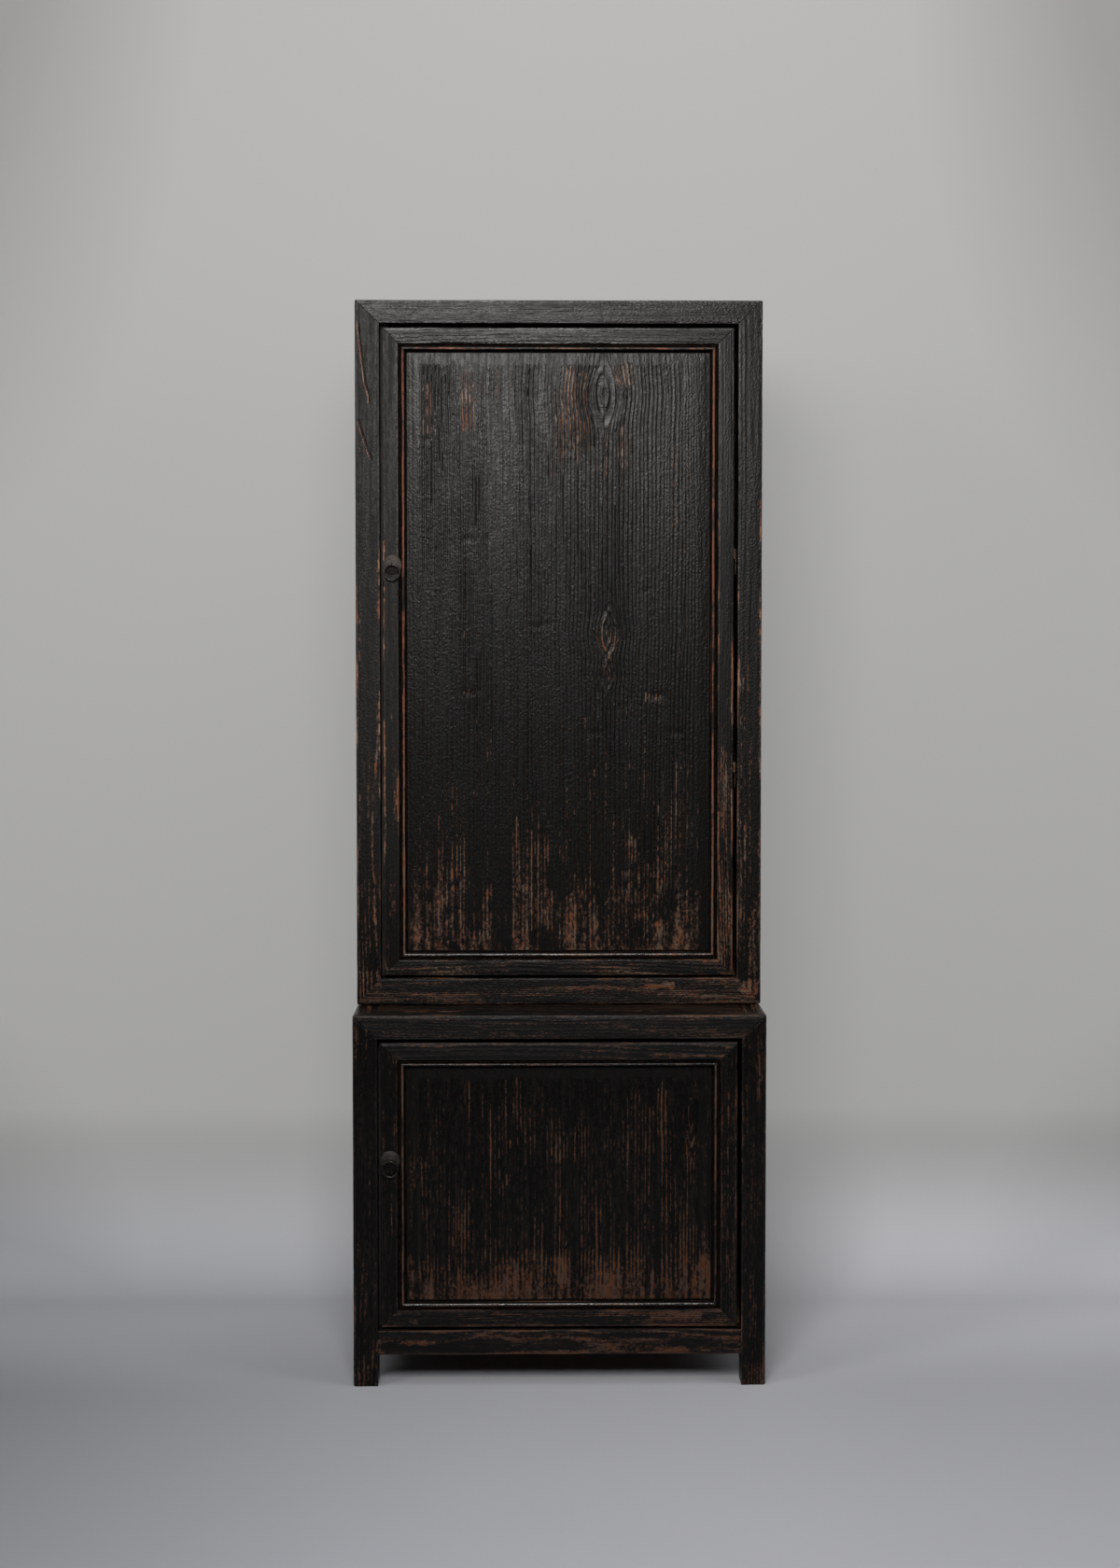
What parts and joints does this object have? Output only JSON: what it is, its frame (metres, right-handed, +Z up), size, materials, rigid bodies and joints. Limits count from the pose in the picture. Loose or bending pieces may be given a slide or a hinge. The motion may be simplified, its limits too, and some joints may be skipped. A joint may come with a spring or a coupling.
{
  "type": "two stage cupboard",
  "caption": "Tall narrow cupboard of two stacked wooden cases, each shut by a framed door on wooden pivots with a hanging ring pull.",
  "frame": {"origin": "on the floor, at the centre of the lower case's footprint", "axes": "+Z up; the doors face -Y; +X is to the right of someone facing the doors"},
  "size_m": [0.7, 0.4601, 1.848],
  "materials": {
    "black_lacquer": "worn black lacquer over brushed softwood, matt to satin",
    "bare_wood": "aged unlacquered softwood, matt",
    "dark_iron": "hand-forged iron with a dark brown patina"
  },
  "bodies": {
    "carcass": {"case_dowels": "bare_wood", "door_stops": "bare_wood", "lower_back_panel": "black_lacquer", "lower_bottom_rail_back": "black_lacquer", "lower_bottom_rail_front": "black_lacquer", "lower_bottom_rail_left": "black_lacquer", "lower_bottom_rail_right": "black_lacquer", "lower_floor_boards": "bare_wood", "lower_post_back_left": "black_lacquer", "lower_post_back_right": "black_lacquer", "lower_post_front_left": "black_lacquer", "lower_post_front_right": "black_lacquer", "lower_side_panel_left": "black_lacquer", "lower_side_panel_right": "black_lacquer", "lower_top_boards": "black_lacquer", "lower_top_rail_back": "black_lacquer", "lower_top_rail_front": "black_lacquer", "lower_top_rail_left": "black_lacquer", "lower_top_rail_right": "black_lacquer", "upper_back_panel": "black_lacquer", "upper_bottom_rail_back": "black_lacquer", "upper_bottom_rail_front": "black_lacquer", "upper_bottom_rail_left": "black_lacquer", "upper_bottom_rail_right": "black_lacquer", "upper_floor_boards": "bare_wood", "upper_post_back_left": "black_lacquer", "upper_post_back_right": "black_lacquer", "upper_post_front_left": "black_lacquer", "upper_post_front_right": "black_lacquer", "upper_shelf_1": "bare_wood", "upper_shelf_2": "bare_wood", "upper_shelf_bearers": "bare_wood", "upper_side_panel_left": "black_lacquer", "upper_side_panel_right": "black_lacquer", "upper_top_boards": "black_lacquer", "upper_top_rail_back": "black_lacquer", "upper_top_rail_front": "black_lacquer", "upper_top_rail_left": "black_lacquer", "upper_top_rail_right": "black_lacquer"},
    "lower_door": {"lower_door_battens": "bare_wood", "lower_door_beads": "black_lacquer", "lower_door_bottom_rail": "black_lacquer", "lower_door_latch_stile": "black_lacquer", "lower_door_panel": "black_lacquer", "lower_door_pivot_stile": "black_lacquer", "lower_door_top_rail": "black_lacquer", "lower_pull_plate": "dark_iron", "lower_pull_pin": "dark_iron"},
    "lower_ring": {"lower_pull_ring": "dark_iron"},
    "upper_door": {"upper_door_battens": "bare_wood", "upper_door_beads": "black_lacquer", "upper_door_bottom_rail": "black_lacquer", "upper_door_latch_stile": "black_lacquer", "upper_door_panel": "black_lacquer", "upper_door_pivot_stile": "black_lacquer", "upper_door_top_rail": "black_lacquer", "upper_pull_plate": "dark_iron", "upper_pull_pin": "dark_iron"},
    "upper_ring": {"upper_pull_ring": "dark_iron"}
  },
  "joints": [
    {"name": "lower_door_swing", "type": "hinge", "parent": "carcass", "child": "lower_door", "pos_m": [0.28754, -0.21, 0.1005], "axis": [0, 0, 1], "range_deg": [0, 105]},
    {"name": "lower_ring_swing", "type": "hinge", "parent": "lower_door", "child": "lower_ring", "pos_m": [-0.2865, -0.23085, 0.386], "axis": [-1, 0, 0], "range_deg": [0, 165]},
    {"name": "upper_door_swing", "type": "hinge", "parent": "carcass", "child": "upper_door", "pos_m": [0.28754, -0.11, 0.6845], "axis": [0, 0, 1], "range_deg": [0, 105]},
    {"name": "upper_ring_swing", "type": "hinge", "parent": "upper_door", "child": "upper_ring", "pos_m": [-0.2865, -0.13085, 1.394], "axis": [-1, 0, 0], "range_deg": [0, 165]}
  ]
}
